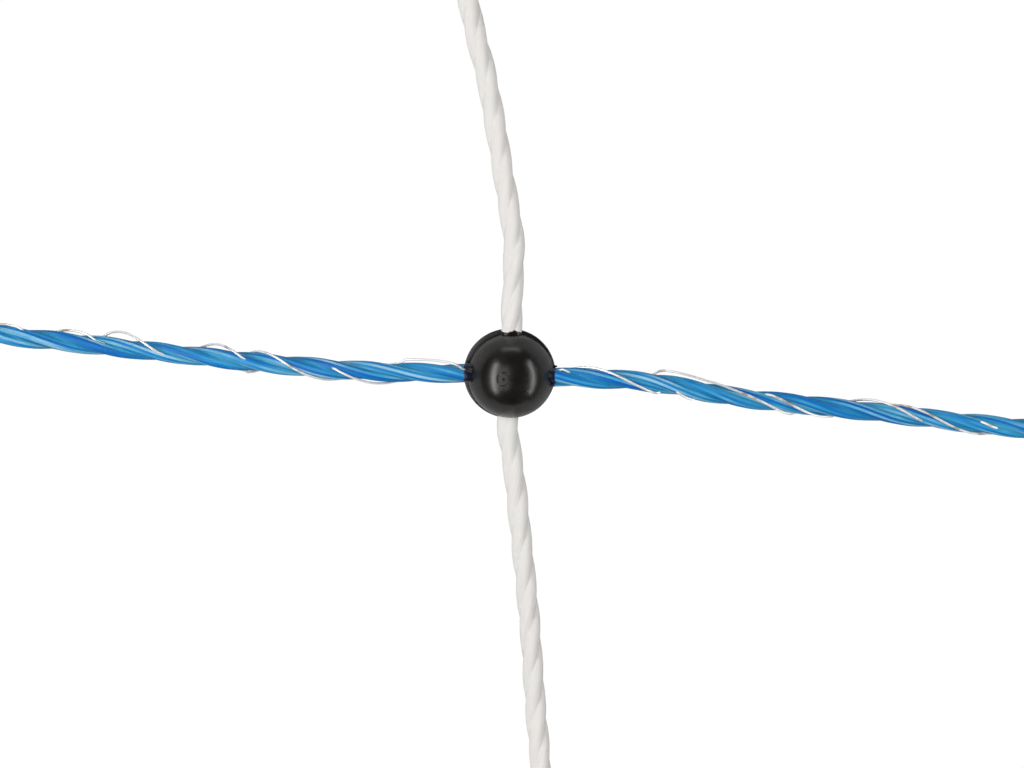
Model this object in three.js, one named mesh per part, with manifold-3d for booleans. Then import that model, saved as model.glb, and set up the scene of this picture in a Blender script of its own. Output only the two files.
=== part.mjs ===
// A small whole piece of electric sheep netting: three polywires, each with conductor wires
// laid round it, three plain twines across them, and a ball-shaped plastic knot moulded round
// each crossing. The netting lies flat. +X runs along the polywires, +Y along the twines and
// +Z up, with the origin under the middle knot. Lengths are millimetres, angles are degrees.
import * as THREE from "three";
import { mergeVertices } from "three/addons/utils/BufferGeometryUtils.js";
import Module from "manifold-3d";

const wasm = await Module();
wasm.setup();

// Netting
const MESH_WIDTH = 150;
const MESH_HEIGHT = 100;
const ROW_SLOPE = 5.3;
const COLUMN_LEAN = 5.7;
const CUT_STUB = 4;
const PORT_RUN = 1;
const COMING_DOWN = 45;
const FLOOR_GAP = 0.02;

// Polywire and its conductor wires
const POLYWIRE_DIAMETER = 2.6;
const POLYWIRE_GROOVE = 0.4;
const POLYWIRE_LAY = 19.8;
const WIRE_DIAMETER = 0.22;
const WIRE_SEAT = 0.29;
const WIRE_SLACK = 0.45;
const WIRE_SLACK_LENGTH = 47;
const WIRE_SLACK_RISE = 9;
const WIRES_PER_POLYWIRE = 3;

// Twine
const TWINE_DIAMETER = 2.7;
const TWINE_GROOVE = 0.4;
const TWINE_LAY = 16.3;

// Moulded knot
const KNOT_WIDTH = 11.5;
const KNOT_LENGTH = 11.3;
const KNOT_DEPTH = 11.4;
const REST_DIAMETER = 3.2;
const SHELL_STEP = 0.3;
const SHELL_SHIFT = { x: 0.18, y: -0.18 };
const SHELL_SINK = 0.4;
const POLYWIRE_RISE = 1.55;
const STRAND_CLEARANCE = 0.3;

// How finely round shapes are divided
const PLIES = 3;
const STEPS_PER_LAY = 7;
const WIRE_STEPS_PER_LAY = 6;
const WIRE_SIDES = 3;
const KNOT_SIDES = 14;
const KNOT_RINGS = 4;
const BORE_SIDES = 6;
const POLYWIRE_BORE_STEPS = 1;
const TWINE_BORE_STEPS = 4;
const LENGTH_SAMPLES = 800;

// Rows and columns of the netting: how far each knot is turned in its place, the angle at which
// a ply stands at the middle of each strand, and how far along one wave of standing off a row's
// first wire starts
const ROWS = [
  { name: "lower", place: -1, turns: [-4, -1, -5], plyAngle: 10, slackShare: 0.25 },
  { name: "middle", place: 0, turns: [-3, -2, -4.5], plyAngle: -34.5, slackShare: 0 },
  { name: "upper", place: 1, turns: [1, -5, -2], plyAngle: 65, slackShare: 0.6 },
];
const COLUMNS = [
  { name: "left", place: -1, plyAngle: 0 },
  { name: "centre", place: 0, plyAngle: 46 },
  { name: "right", place: 1, plyAngle: 95 },
];

// Sideways bows of each span, as [part of the span, distance to the left of its chord]
const ROW_BOWS = {
  lower: [
    [[0.2, 0.9], [0.45, 2.1], [0.75, 1.2]],
    [[0.15, -0.8], [0.4, -1.9], [0.62, -1.1], [0.85, 0.3]],
  ],
  middle: [
    [[0.3, -0.9], [0.57, -1.6], [0.72, -1.8], [0.87, -1.26]],
    [[0.115, 0.7], [0.19, -0.4], [0.26, -0.85], [0.41, -1.5], [0.7, -0.9]],
  ],
  upper: [
    [[0.18, -1.1], [0.4, -0.2], [0.6, 1.3], [0.82, 1.0]],
    [[0.22, 1.4], [0.5, 2.3], [0.78, 0.7]],
  ],
};
const COLUMN_BOWS = {
  left: [
    [[0.2, -0.9], [0.5, -2.0], [0.8, -1.2]],
    [[0.25, 1.0], [0.55, 0.4], [0.8, -0.7]],
  ],
  centre: [
    [[0.3, 0.9], [0.52, 1.1], [0.7, 0.65], [0.88, 0.7]],
    [[0.11, -1.5], [0.165, -2.15], [0.25, -1.7], [0.36, -0.9], [0.47, 0.5], [0.7, 0.8]],
  ],
  right: [
    [[0.18, 1.0], [0.42, 1.9], [0.7, 0.5]],
    [[0.2, -1.3], [0.48, -2.2], [0.76, -0.9]],
  ],
};

const polywireRadius = POLYWIRE_DIAMETER / 2;
const twineRadius = TWINE_DIAMETER / 2;
const wireOrbit = polywireRadius - POLYWIRE_GROOVE + WIRE_DIAMETER / 2 + WIRE_SEAT;
const wireReach = wireOrbit + WIRE_DIAMETER / 2;

// The knot's flat underside lies on the floor
const restShare = REST_DIAMETER / KNOT_WIDTH;
const knotCentre = (KNOT_DEPTH / 2) * Math.sqrt(1 - restShare ** 2);

// Where the strands run: straight over and under each other in the knots, on the floor between
const polywireInKnot = knotCentre + POLYWIRE_RISE;
const twineDip = POLYWIRE_RISE - wireReach - STRAND_CLEARANCE - twineRadius;
const polywireOnFloor = wireReach + FLOOR_GAP;
const twineOnFloor = twineRadius + FLOOR_GAP;

const materials = {
  knot: { color: 0x17171a, roughness: 0.45, metalness: 0 },
  polywire: { color: 0x3a93c9, roughness: 0.55, metalness: 0 },
  twine: { color: 0xe6e3de, roughness: 0.8, metalness: 0 },
  wire: { color: 0xc9ccd0, roughness: 0.3, metalness: 1 },
};

function radians(degrees) {
  return THREE.MathUtils.degToRad(degrees);
}

// A smooth step from 0 to 1 as value goes from 0 to length.
function ease(value, length) {
  const share = THREE.MathUtils.clamp(value / length, 0, 1);
  return (1 - Math.cos(Math.PI * share)) / 2;
}

// The point on the floor below a knot's centre.
function crossing(column, row) {
  const slope = radians(ROW_SLOPE);
  const lean = radians(COLUMN_LEAN);
  return new THREE.Vector3(
    column * MESH_WIDTH * Math.cos(slope) - row * MESH_HEIGHT * Math.sin(lean),
    row * MESH_HEIGHT * Math.cos(lean) - column * MESH_WIDTH * Math.sin(slope),
    0,
  );
}

// Height of each strand at a distance from the nearest knot's centre: level at its ports and
// along a cut stub, then down to the floor, with the twine dipping under the polywire between.
function polywireHeight(away) {
  const down = ease(away - KNOT_WIDTH / 2 - CUT_STUB, COMING_DOWN);
  return polywireInKnot + (polywireOnFloor - polywireInKnot) * down;
}

function twineHeight(away) {
  const under = 1 - ease(away, KNOT_LENGTH / 2);
  const down = ease(away - KNOT_LENGTH / 2 - CUT_STUB, COMING_DOWN);
  return knotCentre + twineDip * under + (twineOnFloor - knotCentre) * down;
}

// A strand's way through a line of knots, straight through each one and bowed in between.
class StrandRoute extends THREE.Curve {
  constructor(knots, quarterTurns, knotSize, bows, height) {
    super();
    this.arcLengthDivisions = LENGTH_SAMPLES;
    this.knots = knots;
    this.height = height;
    const points = [];
    knots.forEach((knot, index) => {
      const isLast = index === knots.length - 1;
      const angle = radians(knot.turn + 90 * quarterTurns);
      const along = new THREE.Vector3(Math.cos(angle), Math.sin(angle), 0);
      const before = knotSize / 2 + (index === 0 ? CUT_STUB : PORT_RUN);
      const after = knotSize / 2 + (isLast ? CUT_STUB : PORT_RUN);
      points.push(knot.centre.clone().addScaledVector(along, -before));
      points.push(knot.centre.clone());
      points.push(knot.centre.clone().addScaledVector(along, after));
      if (!isLast) {
        const chord = knots[index + 1].centre.clone().sub(knot.centre);
        const left = new THREE.Vector3(-chord.y, chord.x, 0).normalize();
        for (const [share, bow] of bows[index]) {
          points.push(knot.centre.clone().addScaledVector(chord, share).addScaledVector(left, bow));
        }
      }
    });
    this.plan = new THREE.CatmullRomCurve3(points);
  }

  awayFromKnots(point) {
    return Math.min(...this.knots.map(({ centre }) => Math.hypot(point.x - centre.x, point.y - centre.y)));
  }

  getPoint(t, target = new THREE.Vector3()) {
    this.plan.getPoint(t, target);
    return target.setZ(this.height(this.awayFromKnots(target)));
  }
}

// A conductor wire's way round its polywire, turning with the lay and standing off it in places,
// though never below it or in a knot.
class WireRoute extends THREE.Curve {
  constructor(strand, middleAngle, slackShare) {
    super();
    this.arcLengthDivisions = LENGTH_SAMPLES;
    this.strand = strand;
    this.middleAngle = middleAngle;
    this.slackShare = slackShare;
  }

  getPoint(t, target = new THREE.Vector3()) {
    const { point, side, up } = frameAt(this.strand, t);
    const run = (t - 0.5) * this.strand.getLength();
    const angle = this.middleAngle + (2 * Math.PI * run) / POLYWIRE_LAY;
    const clear = this.strand.awayFromKnots(point) - KNOT_WIDTH / 2 - PORT_RUN;
    const wander = (1 + Math.sin(2 * Math.PI * (run / WIRE_SLACK_LENGTH - this.slackShare))) / 2;
    const upperSide = (1 + Math.sin(angle)) / 2;
    const orbit = wireOrbit + WIRE_SLACK * wander * upperSide * ease(clear, WIRE_SLACK_RISE);
    return target
      .copy(point)
      .addScaledVector(side, orbit * Math.cos(angle))
      .addScaledVector(up, orbit * Math.sin(angle));
  }
}

// The point at a share of a curve's length, with the directions to its left and above it.
function frameAt(curve, share) {
  const point = curve.getPointAt(share);
  const along = curve.getTangentAt(share);
  const side = new THREE.Vector3(0, 0, 1).cross(along).normalize();
  const up = along.clone().cross(side);
  return { point, side, up };
}

// A section whose corners stand at the given reaches in turn.
function section(reaches, corners) {
  const points = [];
  for (let corner = 0; corner < corners; corner++) {
    const angle = (2 * Math.PI * corner) / corners;
    const reach = reaches[corner % reaches.length];
    points.push(new THREE.Vector2(reach * Math.cos(angle), reach * Math.sin(angle)));
  }
  return new THREE.Shape(points);
}

// Lays a section along a curve, turning it by the given number of turns on the way.
function sweep(shape, curve, steps, middleAngle = 0, turns = 0) {
  const geometry = new THREE.ExtrudeGeometry(shape, { depth: 1, steps, bevelEnabled: false });
  const position = geometry.getAttribute("position");
  for (let i = 0; i < position.count; i++) {
    const share = THREE.MathUtils.clamp(position.getZ(i), 0, 1);
    const { point, side, up } = frameAt(curve, share);
    const angle = middleAngle + 2 * Math.PI * turns * (share - 0.5);
    const across = position.getX(i) * Math.cos(angle) - position.getY(i) * Math.sin(angle);
    const above = position.getX(i) * Math.sin(angle) + position.getY(i) * Math.cos(angle);
    point.addScaledVector(side, across).addScaledVector(up, above);
    position.setXYZ(i, point.x, point.y, point.z);
  }
  return geometry;
}

// A strand of twisted plies, with a groove between neighbouring plies.
function plied(route, radius, groove, lay, middleAngle) {
  const turns = route.getLength() / lay;
  const steps = Math.round(turns * STEPS_PER_LAY);
  return sweep(section([radius, radius - groove], 2 * PLIES), route, steps, middleAngle, turns);
}

function solidOf(geometry) {
  const plain = geometry.clone();
  plain.deleteAttribute("normal");
  plain.deleteAttribute("uv");
  const merged = mergeVertices(plain, 1e-4);
  return new wasm.Manifold(
    new wasm.Mesh({
      numProp: 3,
      vertProperties: merged.getAttribute("position").array,
      triVerts: new Uint32Array(merged.index.array),
    }),
  );
}

function geometryOf(solid) {
  const mesh = solid.getMesh();
  const geometry = new THREE.BufferGeometry();
  geometry.setAttribute("position", new THREE.BufferAttribute(mesh.vertProperties, 3));
  geometry.setIndex(new THREE.BufferAttribute(mesh.triVerts, 1));
  geometry.computeVertexNormals();
  return geometry;
}

// An arc of the unit circle from one angle to another, both measured up from its lowest point.
function arc(fromAngle, toAngle) {
  const points = [];
  for (let ring = 0; ring <= KNOT_RINGS; ring++) {
    const angle = THREE.MathUtils.lerp(fromAngle, toAngle, ring / KNOT_RINGS);
    points.push(new THREE.Vector2(Math.max(0, Math.sin(angle)), -Math.cos(angle)));
  }
  return points;
}

// Turns a profile about the knot's upright axis, from its lowest point to its highest.
function turned(profile) {
  return new THREE.LatheGeometry(profile, KNOT_SIDES).rotateX(Math.PI / 2);
}

// The rear half of the knot, flat where it rests on the floor and at the parting plane.
function rearShell() {
  const side = arc(Math.asin(restShare), Math.PI / 2);
  const rest = new THREE.Vector2(0, side[0].y);
  const parting = new THREE.Vector2(0, side[KNOT_RINGS].y);
  return turned([rest, ...side, parting]).scale(KNOT_WIDTH / 2, KNOT_LENGTH / 2, KNOT_DEPTH / 2);
}

// The front half, a step smaller all round, shifted a little and sunk into the rear half.
function frontShell() {
  const foot = -SHELL_SINK / (KNOT_DEPTH / 2);
  const profile = [new THREE.Vector2(0, foot), new THREE.Vector2(1, foot), ...arc(Math.PI / 2, Math.PI)];
  return turned(profile)
    .scale(KNOT_WIDTH / 2 - SHELL_STEP, KNOT_LENGTH / 2 - SHELL_STEP, KNOT_DEPTH / 2)
    .translate(SHELL_SHIFT.x, SHELL_SHIFT.y, 0);
}

// The bore of one strand through a knot, in the knot's own frame.
function bore(quarterTurns, knotSize, height, reach, steps) {
  const knot = { centre: new THREE.Vector3(), turn: 0 };
  const route = new StrandRoute([knot], quarterTurns, knotSize, [], height);
  const corner = (reach + STRAND_CLEARANCE) / Math.cos(Math.PI / BORE_SIDES);
  return solidOf(sweep(section([corner], BORE_SIDES), route, steps).translate(0, 0, -knotCentre));
}

function knotShape() {
  const ball = solidOf(rearShell()).add(solidOf(frontShell()));
  const polywireBore = bore(0, KNOT_WIDTH, polywireHeight, wireReach, POLYWIRE_BORE_STEPS);
  const twineBore = bore(1, KNOT_LENGTH, twineHeight, twineRadius, TWINE_BORE_STEPS);
  return geometryOf(ball.subtract(polywireBore).subtract(twineBore));
}

const netting = new THREE.Group();

function add(name, geometry, finish) {
  const mesh = new THREE.Mesh(geometry, new THREE.MeshStandardMaterial(finish));
  mesh.name = name;
  netting.add(mesh);
  return mesh;
}

const grid = ROWS.map((row) =>
  COLUMNS.map((column, index) => ({
    centre: crossing(column.place, row.place),
    turn: row.turns[index],
  })),
);

// The knots, all from one mould
const moulded = knotShape();
ROWS.forEach((row, r) => {
  COLUMNS.forEach((column, c) => {
    const knot = add(`knot_${row.name}_${column.name}`, moulded, materials.knot);
    knot.position.copy(grid[r][c].centre).setZ(knotCentre);
    knot.rotation.z = radians(grid[r][c].turn);
  });
});

// The polywires, with their conductor wires over the grooves between the plies
ROWS.forEach((row, r) => {
  const route = new StrandRoute(grid[r], 0, KNOT_WIDTH, ROW_BOWS[row.name], polywireHeight);
  const plyAngle = radians(row.plyAngle);
  const strand = plied(route, polywireRadius, POLYWIRE_GROOVE, POLYWIRE_LAY, plyAngle);
  add(`polywire_${row.name}`, strand, materials.polywire);
  const steps = Math.round((route.getLength() / POLYWIRE_LAY) * WIRE_STEPS_PER_LAY);
  for (let wire = 0; wire < WIRES_PER_POLYWIRE; wire++) {
    const share = (wire + 0.5) / WIRES_PER_POLYWIRE;
    const wireRoute = new WireRoute(route, plyAngle + 2 * Math.PI * share, row.slackShare + share);
    const round = sweep(section([WIRE_DIAMETER / 2], WIRE_SIDES), wireRoute, steps);
    add(`conductor_${row.name}_${wire + 1}`, round, materials.wire);
  }
});

// The plain twines across them
COLUMNS.forEach((column, c) => {
  const knots = grid.map((row) => row[c]);
  const route = new StrandRoute(knots, 1, KNOT_LENGTH, COLUMN_BOWS[column.name], twineHeight);
  const strand = plied(route, twineRadius, TWINE_GROOVE, TWINE_LAY, radians(column.plyAngle));
  add(`twine_${column.name}`, strand, materials.twine);
});

export default netting;
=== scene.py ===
"""Electric sheep netting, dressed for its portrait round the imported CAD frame.

Three blue polywires with conductor wires laid round them cross three white twines, and a black
ball knot is moulded round each crossing. The netting lies flat on a pale table. The knots are
modelled on a bench where one unit is a millimetre, and every finished mesh is in metres.
"""

import logging
import math
from collections.abc import Callable, Iterator
from contextlib import contextmanager
from dataclasses import dataclass, field
from enum import Enum

import bpy
import numpy as np
from mathutils import Matrix, Vector


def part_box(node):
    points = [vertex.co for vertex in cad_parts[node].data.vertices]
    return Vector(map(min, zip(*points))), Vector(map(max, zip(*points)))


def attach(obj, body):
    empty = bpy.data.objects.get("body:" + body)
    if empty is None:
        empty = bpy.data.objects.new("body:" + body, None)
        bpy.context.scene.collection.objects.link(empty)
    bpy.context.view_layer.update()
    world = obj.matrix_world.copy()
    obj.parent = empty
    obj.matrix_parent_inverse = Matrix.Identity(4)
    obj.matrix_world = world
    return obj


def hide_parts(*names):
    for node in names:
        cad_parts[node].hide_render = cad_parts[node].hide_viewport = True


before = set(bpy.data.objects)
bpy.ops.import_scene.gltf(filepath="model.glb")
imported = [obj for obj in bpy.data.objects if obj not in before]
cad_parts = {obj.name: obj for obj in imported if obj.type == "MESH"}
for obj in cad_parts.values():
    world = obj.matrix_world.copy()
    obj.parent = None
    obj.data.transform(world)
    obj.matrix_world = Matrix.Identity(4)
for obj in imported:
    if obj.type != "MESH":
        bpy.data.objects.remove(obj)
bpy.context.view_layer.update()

MM = 0.001
TURN = 2 * math.pi
BODY = "root"
log = logging.getLogger("netting")

Colour = tuple[float, float, float]
Bows = tuple[tuple[tuple[float, float], ...], ...]


class Slot(Enum):
    """The record's material slots."""

    KNOT = "knot"
    POLYWIRE = "polywire"
    CONDUCTOR = "conductor"
    TWINE = "twine"


class Line(Enum):
    """A line of knots, named by its place in the netting."""

    @property
    def word(self) -> str:
        """The line's word in a node's name."""
        return self.name.lower()


class Row(Line):
    """The polywires, by their place above or below the middle one."""

    LOWER = -1
    MIDDLE = 0
    UPPER = 1


class Column(Line):
    """The twines, by their place to the left or right of the middle one."""

    LEFT = -1
    CENTRE = 0
    RIGHT = 1


class Lies(Enum):
    """Which way a strand lies, by the quarter turns from the polywires' way to its own."""

    ALONG = 0
    ACROSS = 1


@dataclass(frozen=True)
class RowPlan:
    """How one polywire lies: the turn of each knot on it, its lay's angle and its bows."""

    turns: tuple[float, float, float]
    ply_angle: float
    bows: Bows


@dataclass(frozen=True)
class ColumnPlan:
    """How one twine lies: its lay's angle and its bows."""

    ply_angle: float
    bows: Bows


ROW_PLANS = {
    Row.LOWER: RowPlan(
        (-4, -1, -5), 10,
        (((0.2, 0.9), (0.45, 2.1), (0.75, 1.2)),
         ((0.15, -0.8), (0.4, -1.9), (0.62, -1.1), (0.85, 0.3))),
    ),
    Row.MIDDLE: RowPlan(
        (-3, -2, -4.5), -34.5,
        (((0.3, -0.9), (0.57, -1.6), (0.72, -1.8), (0.87, -1.26)),
         ((0.115, 0.7), (0.19, -0.4), (0.26, -0.85), (0.41, -1.5), (0.7, -0.9))),
    ),
    Row.UPPER: RowPlan(
        (1, -5, -2), 65,
        (((0.18, -1.1), (0.4, -0.2), (0.6, 1.3), (0.82, 1.0)),
         ((0.22, 1.4), (0.5, 2.3), (0.78, 0.7))),
    ),
}
COLUMN_PLANS = {
    Column.LEFT: ColumnPlan(
        0,
        (((0.2, -0.9), (0.5, -2.0), (0.8, -1.2)),
         ((0.25, 1.0), (0.55, 0.4), (0.8, -0.7))),
    ),
    Column.CENTRE: ColumnPlan(
        46,
        (((0.3, 0.9), (0.52, 1.1), (0.7, 0.65), (0.88, 0.7)),
         ((0.11, -1.5), (0.165, -2.15), (0.25, -1.7), (0.36, -0.9), (0.47, 0.5), (0.7, 0.8))),
    ),
    Column.RIGHT: ColumnPlan(
        95,
        (((0.18, 1.0), (0.42, 1.9), (0.7, 0.5)),
         ((0.2, -1.3), (0.48, -2.2), (0.76, -0.9))),
    ),
}


def ease(value: np.ndarray, length: float) -> np.ndarray:
    """A smooth step from 0 to 1 as a value goes from 0 to a length.

    Args:
        value: The values.
        length: Where the step ends.

    Returns:
        The step's height at each value.
    """
    share = np.clip(value / length, 0, 1)
    return (1 - np.cos(math.pi * share)) / 2


def smoothed(values: np.ndarray, spread: int) -> np.ndarray:
    """Values on an even grid, smoothed by a bell of the given spread.

    Args:
        values: The values, one for each step of the grid.
        spread: The bell's spread, in steps.

    Returns:
        The smoothed values, as many as there were.
    """
    reach = 3 * spread
    bell = np.exp(-0.5 * (np.arange(-reach, reach + 1) / spread) ** 2)
    padded = np.pad(values, reach, mode="reflect", reflect_type="odd")
    return np.convolve(padded, bell / bell.sum(), mode="valid")


@dataclass(frozen=True)
class KnotPlace:
    """Where one knot stands: the floor point under its centre, and its turn in degrees."""

    row: Row
    column: Column
    centre: tuple[float, float]
    turn: float

    @property
    def node(self) -> str:
        """The knot's node in the CAD model."""
        return f"knot_{self.row.word}_{self.column.word}"


@dataclass(frozen=True)
class Layout:
    """The netting's plan and the heights of its strands, in millimetres and degrees."""

    mesh_width: float = 150.0
    mesh_height: float = 100.0
    row_slope: float = 5.3
    column_lean: float = 5.7
    cut_stub: float = 4.0
    port_run: float = 1.0
    coming_down: float = 45.0
    knot_width: float = 11.5
    knot_length: float = 11.3
    knot_depth: float = 11.4
    rest_diameter: float = 3.2
    polywire_rise: float = 1.55
    wire_reach: float = 1.41
    twine_radius: float = 1.35
    strand_clearance: float = 0.3
    floor_gap: float = 0.02

    @property
    def knot_centre(self) -> float:
        """Height of a knot's parting plane above the floor."""
        share = self.rest_diameter / self.knot_width
        return self.knot_depth / 2 * math.sqrt(1 - share**2)

    def place(self, row: Row, column: Column) -> KnotPlace:
        """The place of the knot on a row and a column.

        Args:
            row: The knot's polywire.
            column: The knot's twine.

        Returns:
            The knot's centre on the floor, and its turn.
        """
        slope, lean = math.radians(self.row_slope), math.radians(self.column_lean)
        along, up = column.value * self.mesh_width, row.value * self.mesh_height
        centre = (
            along * math.cos(slope) - up * math.sin(lean),
            up * math.cos(lean) - along * math.sin(slope),
        )
        return KnotPlace(row, column, centre, ROW_PLANS[row].turns[column.value + 1])

    def polywire_height(self, away: np.ndarray) -> np.ndarray:
        """Height of a polywire's middle at distances from the nearest knot."""
        top = self.knot_centre + self.polywire_rise
        low = self.wire_reach + self.floor_gap
        down = ease(away - self.knot_width / 2 - self.cut_stub, self.coming_down)
        return top + (low - top) * down

    def twine_height(self, away: np.ndarray) -> np.ndarray:
        """Height of a twine's middle at distances from the nearest knot."""
        dip = self.polywire_rise - self.wire_reach - self.strand_clearance - self.twine_radius
        low = self.twine_radius + self.floor_gap
        under = 1 - ease(away, self.knot_length / 2)
        down = ease(away - self.knot_length / 2 - self.cut_stub, self.coming_down)
        return self.knot_centre + dip * under + (low - self.knot_centre) * down


@dataclass
class Route:
    """The line that a strand follows through its knots, measured from its own middle."""

    layout: Layout
    knots: list[KnotPlace]
    lies: Lies
    bows: Bows
    raised: float = 0.0
    samples_per_span: int = 160
    run: np.ndarray = field(init=False)
    line: np.ndarray = field(init=False)

    def __post_init__(self) -> None:
        """Works out the line once."""
        plan = self.plan_curve(np.array(self.plan_points()))
        away = np.min([np.hypot(*(plan - k.centre).T) for k in self.knots], axis=0)
        height = self.layout.polywire_height if self.lies is Lies.ALONG else self.layout.twine_height
        lift = self.raised * ease(away - self.layout.knot_width / 2, self.layout.coming_down)
        self.line = np.column_stack([plan, height(away) + lift])
        steps = np.linalg.norm(np.diff(self.line, axis=0), axis=1)
        lengths = np.concatenate([[0], np.cumsum(steps)])
        self.run = lengths - lengths[-1] / 2

    def plan_points(self) -> list[np.ndarray]:
        """The plan's own points: straight through each knot, and bowed in between.

        Returns:
            The points in order.
        """
        size = self.layout.knot_width if self.lies is Lies.ALONG else self.layout.knot_length
        points = []
        for index, knot in enumerate(self.knots):
            angle = math.radians(knot.turn + 90 * self.lies.value)
            along = np.array([math.cos(angle), math.sin(angle)])
            last = index == len(self.knots) - 1
            before = size / 2 + (self.layout.cut_stub if index == 0 else self.layout.port_run)
            after = size / 2 + (self.layout.cut_stub if last else self.layout.port_run)
            centre = np.array(knot.centre)
            points += [centre - along * before, centre, centre + along * after]
            if not last:
                chord = np.array(self.knots[index + 1].centre) - centre
                left = np.array([-chord[1], chord[0]]) / np.linalg.norm(chord)
                points += [centre + chord * share + left * bow for share, bow in self.bows[index]]
        return points

    def plan_curve(self, points: np.ndarray) -> np.ndarray:
        """A centripetal Catmull-Rom curve through the plan's points.

        Args:
            points: The points, one in each row.

        Returns:
            The curve's own points, close together.
        """
        first = 2 * points[0] - points[1]
        last = 2 * points[-1] - points[-2]
        held = np.vstack([first, points, last])
        share = np.linspace(0, 1, self.samples_per_span, endpoint=False)[:, None]
        spans = []
        for a, b, c, d in zip(held, held[1:], held[2:], held[3:]):
            t0, t1, t2 = (math.sqrt(np.linalg.norm(q - p)) for p, q in ((a, b), (b, c), (c, d)))
            start = ((b - a) / t0 - (c - a) / (t0 + t1) + (c - b) / t1) * t1
            end = ((c - b) / t1 - (d - b) / (t1 + t2) + (d - c) / t2) * t1
            square = 3 * (c - b) - 2 * start - end
            cube = 2 * (b - c) + start + end
            spans.append(b + start * share + square * share**2 + cube * share**3)
        return np.vstack([*spans, points[-1:]])

    @property
    def half(self) -> float:
        """Half the strand's length."""
        return float(self.run[-1])

    def at(self, run: np.ndarray) -> np.ndarray:
        """The line's points at distances from the strand's middle."""
        return np.stack([np.interp(run, self.run, self.line[:, i]) for i in range(3)], axis=-1)

    def frames(self, run: np.ndarray) -> tuple[np.ndarray, np.ndarray, np.ndarray]:
        """The line's points, with the directions to its left and above it.

        Args:
            run: Distances from the strand's middle, in an array of any shape.

        Returns:
            The points, the left directions and the upward directions.
        """
        step = 0.25
        along = self.at(run + step) - self.at(run - step)
        along /= np.linalg.norm(along, axis=-1, keepdims=True)
        left = np.stack([-along[..., 1], along[..., 0], np.zeros(run.shape)], axis=-1)
        left /= np.linalg.norm(left, axis=-1, keepdims=True)
        return self.at(run), left, np.cross(along, left)

    def surface(self, run: np.ndarray, angle: np.ndarray, reach: np.ndarray) -> np.ndarray:
        """Points round the line.

        Args:
            run: Distances from the strand's middle.
            angle: Angles round the line, from its left over its top.
            reach: Distances from the line.

        Returns:
            The points.
        """
        point, left, up = self.frames(run)
        across = (reach * np.cos(angle))[..., None] * left
        return point + across + (reach * np.sin(angle))[..., None] * up

    def run_of(self, knot: KnotPlace) -> float:
        """How far along the strand a knot's centre is."""
        away = np.hypot(*(self.line[:, :2] - knot.centre).T)
        return float(self.run[np.argmin(away)])


def tube_mesh(name: str, rings: np.ndarray) -> bpy.types.Mesh:
    """A closed tube through rings of points, capped at both ends, its faces pointing out.

    Args:
        name: The mesh's name.
        rings: The points, as rings by points in a ring by three.

    Returns:
        The mesh, whose last two faces are the caps.
    """
    count, sides = rings.shape[:2]
    ring, side = np.meshgrid(np.arange(count - 1), np.arange(sides), indexing="ij")
    following = (side + 1) % sides
    quads = np.stack(
        [ring * sides + side, ring * sides + following,
         (ring + 1) * sides + following, (ring + 1) * sides + side], axis=-1,
    ).reshape(-1, 4)
    start = list(range(sides - 1, -1, -1))
    end = list(range((count - 1) * sides, count * sides))
    mesh = bpy.data.meshes.new(name)
    mesh.from_pydata(rings.reshape(-1, 3).tolist(), [], [*quads.tolist(), start, end])
    mesh.polygons.foreach_set("use_smooth", [True] * len(quads) + [False, False])
    return mesh


def unwrap_tube(mesh: bpy.types.Mesh, count: int, sides: int, along: np.ndarray) -> None:
    """Gives a tube its own UV map: U once round it and V along it.

    Args:
        mesh: A mesh from tube_mesh.
        count: The number of its rings.
        sides: The points in a ring.
        along: V at each ring.
    """
    ring, side = np.meshgrid(np.arange(count - 1), np.arange(sides), indexing="ij")
    round_it = np.stack([side, side + 1, side + 1, side], axis=-1) / sides
    along_it = along[np.stack([ring, ring, ring + 1, ring + 1], axis=-1)]
    walls = np.stack([round_it, along_it], axis=-1).reshape(-1, 2)
    turn = np.arange(sides) / sides
    start = np.column_stack([turn[::-1], np.full(sides, along[0])])
    end = np.column_stack([turn, np.full(sides, along[-1])])
    layer = mesh.uv_layers.new(name="strand")
    layer.data.foreach_set("uv", np.vstack([walls, start, end]).astype(np.float32).ravel())


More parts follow.
